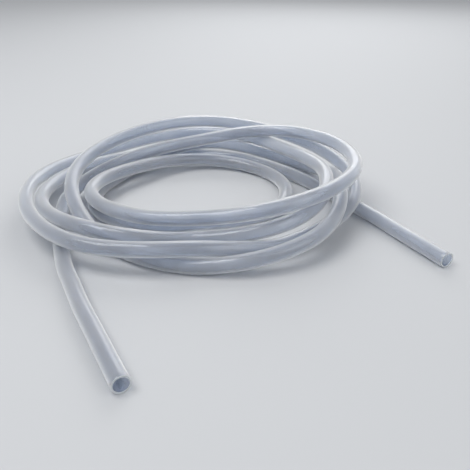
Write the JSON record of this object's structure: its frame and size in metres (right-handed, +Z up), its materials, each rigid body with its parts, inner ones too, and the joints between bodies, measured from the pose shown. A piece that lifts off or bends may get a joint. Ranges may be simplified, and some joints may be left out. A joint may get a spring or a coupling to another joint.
{
  "type": "silicone tubing coil",
  "caption": "Loose coil of flexible hollow tubing with two open free ends, for carrying liquid or gas between lab fittings.",
  "frame": {"origin": "on the surface that the coil lies on, under the middle of the whole piece's outline", "axes": "+Z up from that surface, +X towards the side where the far free end runs out, -Y towards the near free end"},
  "size_m": [0.289, 0.3222, 0.042],
  "materials": {
    "silicone": "translucent milky silicone rubber with a soft gloss"
  },
  "bodies": {
    "root": {"coil": "silicone", "near_end": "silicone", "far_end": "silicone"}
  },
  "joints": []
}
